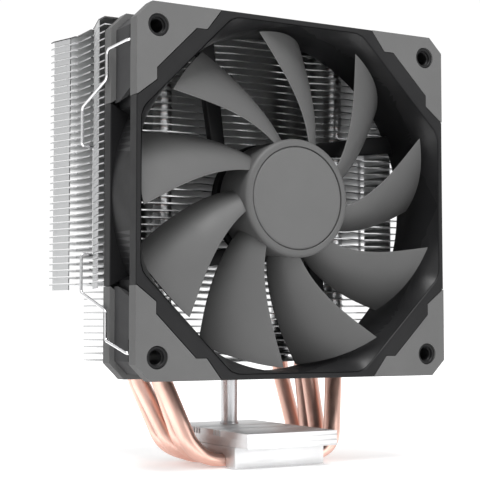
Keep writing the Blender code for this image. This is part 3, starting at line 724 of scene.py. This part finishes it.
def blade(index):
    """One swept blade: thin, cambered, rounded at its edges, its root sunk into the hub."""
    spans, chords = 26, 18
    bm = bmesh.new()
    sheets = []
    for side in (-1, 1):
        sheet = []
        for i in range(spans + 1):
            r = BLADE_ROOT_R + (BLADE_TIP_R - BLADE_ROOT_R) * i / spans
            s = (BLADE_ZERO_R - r) / (BLADE_ZERO_R - HUB_R)
            lead = (law(LEAD_DEG, s), law(LEAD_DEPTH, s))
            trail = (law(TRAIL_DEG, s), law(TRAIL_DEPTH, s))
            row = []
            for j in range(chords + 1):
                t = (1 - cos(pi * j / chords)) / 2
                belly = sin(pi * t)
                angle = radians(FIRST_TIP_DEG + 360 / BLADES * index
                                + lead[0] + (trail[0] - lead[0]) * t - 2.5 * belly)
                depth = lead[1] + (trail[1] - lead[1]) * t - 0.9 * belly
                thick = law(BLADE_THICKNESS, s) * (0.12 + 0.88 * sqrt(belly)) / 2
                lean = angle + side * thick * 0.55 / r
                row.append(bm.verts.new((r * cos(lean), FRONT + depth + side * thick * 0.83,
                                         AXIS_Z + r * sin(lean))))
            sheet.append(row)
        sheets.append(sheet)
    low, high = sheets
    for i in range(spans):
        for j in range(chords):
            bm.faces.new((low[i][j], low[i][j + 1], low[i + 1][j + 1], low[i + 1][j]))
            bm.faces.new((high[i][j], high[i + 1][j], high[i + 1][j + 1], high[i][j + 1]))
    rim = [(i, 0) for i in range(spans)] + [(spans, j) for j in range(chords)]
    rim += [(i, chords) for i in range(spans, 0, -1)] + [(0, j) for j in range(chords, 0, -1)]
    for a, b in zip(rim, rim[1:] + rim[:1]):
        bm.faces.new((low[a[0]][a[1]], low[b[0]][b[1]], high[b[0]][b[1]], high[a[0]][a[1]]))
    return to_mesh(bm)


def rotor():
    hub = lathe([
        (1.8, 2.1), (BADGE_R + 0.25, 2.1), (BADGE_R + 0.25, 1.15), (BADGE_R + 0.4, 1.0), (18.6, 1.0),
        (19.2, 1.15), (19.7, 1.55), (19.95, 2.1), (HUB_R, 2.9), (HUB_R, 19.2), (19.6, 19.6), (18.4, 19.6),
        (18.4, 3.4), (3.5, 3.4), (3.5, 6.0), (1.8, 6.0)], 128)
    finish_piece("impeller_hub", hub, LOOKS["blade"], "rotor", replaced=("impeller",))
    for k in range(BLADES):
        finish_piece(f"impeller_blade_{k + 1}", blade(k), LOOKS["blade"], "rotor", smooth=50.0)
    badge = [(0.02, 1.08), (16.4, 1.08), (16.9, 1.16), (17.15, 1.4), (17.15, 1.8), (0.02, 1.8)]
    finish_piece("hub_disc", lathe(badge, 128), LOOKS["hub"], "rotor", replaced=("hub_badge",))


# Pipes, base and post

def pipe_path(index):
    leg_x, leg_y = PIPE_LEGS[index]
    y = (index - 1.5) * PIPE_PITCH
    z = PIPE_R * PIPE_FLAT
    top = Vector((leg_x, leg_y, PIPE_TIP_Z - 2.6))
    knee = Vector((leg_x, leg_y, PIPE_KNEE_Z))
    heel = Vector((PIPE_BEND_X, y, z))
    middle = Vector((0.0, y, z))
    right = [top, *fillet(top, knee, heel, PIPE_KNEE_R, 10), *fillet(knee, heel, middle, PIPE_BEND_R, 22),
             Vector((10.0, y, z))]
    left = [Vector((-p.x, p.y, p.z)) for p in reversed(right)]
    return right + left


def pressed(point):
    """A pipe is pressed lower in the base and milled flat underneath; it turns round again above it."""
    low = PIPE_R * PIPE_FLAT
    rise = min(1.0, max(0.0, (point.z - low) / 5.0))
    floor = 0.02 if abs(point.x) < BASE_HALF_X + 1.2 else None
    return PIPE_FLAT + (1 - PIPE_FLAT) * rise * rise * (3 - 2 * rise), floor


def heat_pipes():
    for index in range(4):
        mesh = sweep(pipe_path(index), PIPE_R, 36, pressed, round_ends=5)
        finish_piece(f"copper_pipe_{index + 1}", mesh, LOOKS["copper"], replaced=(f"heat_pipe_{index + 1}",),
                     smooth=60.0)


def half_ellipse(centre_y, steps=20):
    wide, tall, foot = PIPE_R + 0.12, PIPE_R * PIPE_FLAT, 0.45
    points = []
    for i in range(steps + 1):
        angle = -foot + (pi + 2 * foot) * i / steps
        points.append((centre_y + wide * cos(angle), tall + (tall + 0.12) * sin(angle)))
    points[0] = (points[0][0], 0.0)
    points[-1] = (points[-1][0], 0.0)
    return points


def base_blocks():
    outline = [(-LOWER_BLOCK_HALF_Y, LOWER_BLOCK_TOP), (-LOWER_BLOCK_HALF_Y, 0.0)]
    for k in range(4):
        outline += reversed(half_ellipse((k - 1.5) * PIPE_PITCH))
    outline += [(LOWER_BLOCK_HALF_Y, 0.0), (LOWER_BLOCK_HALF_Y, LOWER_BLOCK_TOP)]
    lower = bevelled(prism(outline, -BASE_HALF_X, BASE_HALF_X, "X"), 0.18, 2, 50.0)
    finish_piece("contact_block", lower, LOOKS["base"], replaced=("base_lower_block",), smooth=30.0)
    low, high = UPPER_BLOCK_Z
    front_y, back_y = UPPER_BLOCK_Y
    front, back = [], []
    for i in range(25):
        z = low + (high - low) * i / 24
        dent = BLOCK_SCALLOP * abs(sin(3 * pi * i / 24))
        front.append((front_y + dent, z))
        back.append((back_y - dent, z))
    grooves = []
    for centre in GROOVE_CENTRES:
        for offset in (-GROOVE_PITCH, 0.0, GROOVE_PITCH):
            near, far = centre + offset - GROOVE_HALF_WIDTH, centre + offset + GROOVE_HALF_WIDTH
            grooves += [(near, high), (near, high - GROOVE_DEEP), (far, high - GROOVE_DEEP), (far, high)]
    outline = front + grooves + list(reversed(back))
    upper = bevelled(prism(outline, -BASE_HALF_X, BASE_HALF_X, "X"), 0.12, 2, 50.0)
    finish_piece("clamp_block", upper, LOOKS["base"], replaced=("base_upper_block",), smooth=30.0)


def support_post():
    profile = [
        (0.02, 12.05), (3.35, 12.05), (3.35, 12.6), (3.0, 12.9), (3.0, 31.6), (2.7, 31.9), (2.7, 32.45),
        (0.02, 32.45),
    ]
    post = spun(profile, 64, (0.0, POST_Y), "Z")
    finish_piece("steel_post", post, LOOKS["post"], replaced=("support_post",))


# Wire clips

def clip_path(side):
    """Centre line of a spring wire: upper corner window, notch in the fins, lower corner window."""
    arm = [
        (61.2, -12.6, 47.3), (61.2, -12.6, 37.7), (60.7, 9.2, 31.5), (60.7, 9.2, 18.4),
        (58.2, 9.4, 18.5), (57.2, 11.7, 18.5), (55.2, 11.8, 18.4),
    ]
    upper_end = [(57.4, -26.1, 48.4), (59.9, -26.1, 48.3)]
    lower_end = [(59.9, -26.1, -51.2), (57.4, -26.1, -51.3)]
    whole = upper_end + arm + [(x, y, -z) for x, y, z in reversed(arm)] + lower_end
    path = [Vector(whole[0])]
    for before, corner, after in zip(whole, whole[1:], whole[2:]):
        short = min((Vector(corner) - Vector(before)).length, (Vector(corner) - Vector(after)).length)
        path += fillet(before, corner, after, min(1.8, 0.42 * short), 8)
    path.append(Vector(whole[-1]))
    return [Vector((side * p.x, p.y, AXIS_Z + p.z)) for p in path]


def wire_clips():
    for name, side in (("right", 1), ("left", -1)):
        mesh = sweep(clip_path(side), 0.52, 20, round_ends=3)
        finish_piece(f"spring_clip_{name}", mesh, LOOKS["wire"], f"clip_{name}",
                     replaced=(f"wire_clip_{name}",), smooth=60.0)


# CAD pieces that stay: the motor's inside

def kept_nodes():
    looks = {
        "rotor_shaft": "steel", "rotor_yoke": "steel", "magnet_ring": "magnet", "bearing_sleeve": "bronze",
        "shaft_clip": "frame", "stator_core": "steel", "motor_board": "board", "rear_label": "label",
    }
    looks.update({f"stator_winding_{k + 1}": "winding" for k in range(4)})
    for node, look in looks.items():
        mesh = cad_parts[node].data
        mesh.materials.clear()
        mesh.materials.append(LOOKS[look])


camera()
studio()
fin_row("wide_fin", UPPER_SIDE, UPPER_TABS, UPPER_FINS, UPPER_FIRST_Z, "fin_stack_upper")
fin_row("narrow_fin", LOWER_SIDE, (), LOWER_FINS, LOWER_FIRST_Z, "fin_stack_lower")
fan_frame()
corner_pads()
rotor()
heat_pipes()
base_blocks()
support_post()
wire_clips()
kept_nodes()
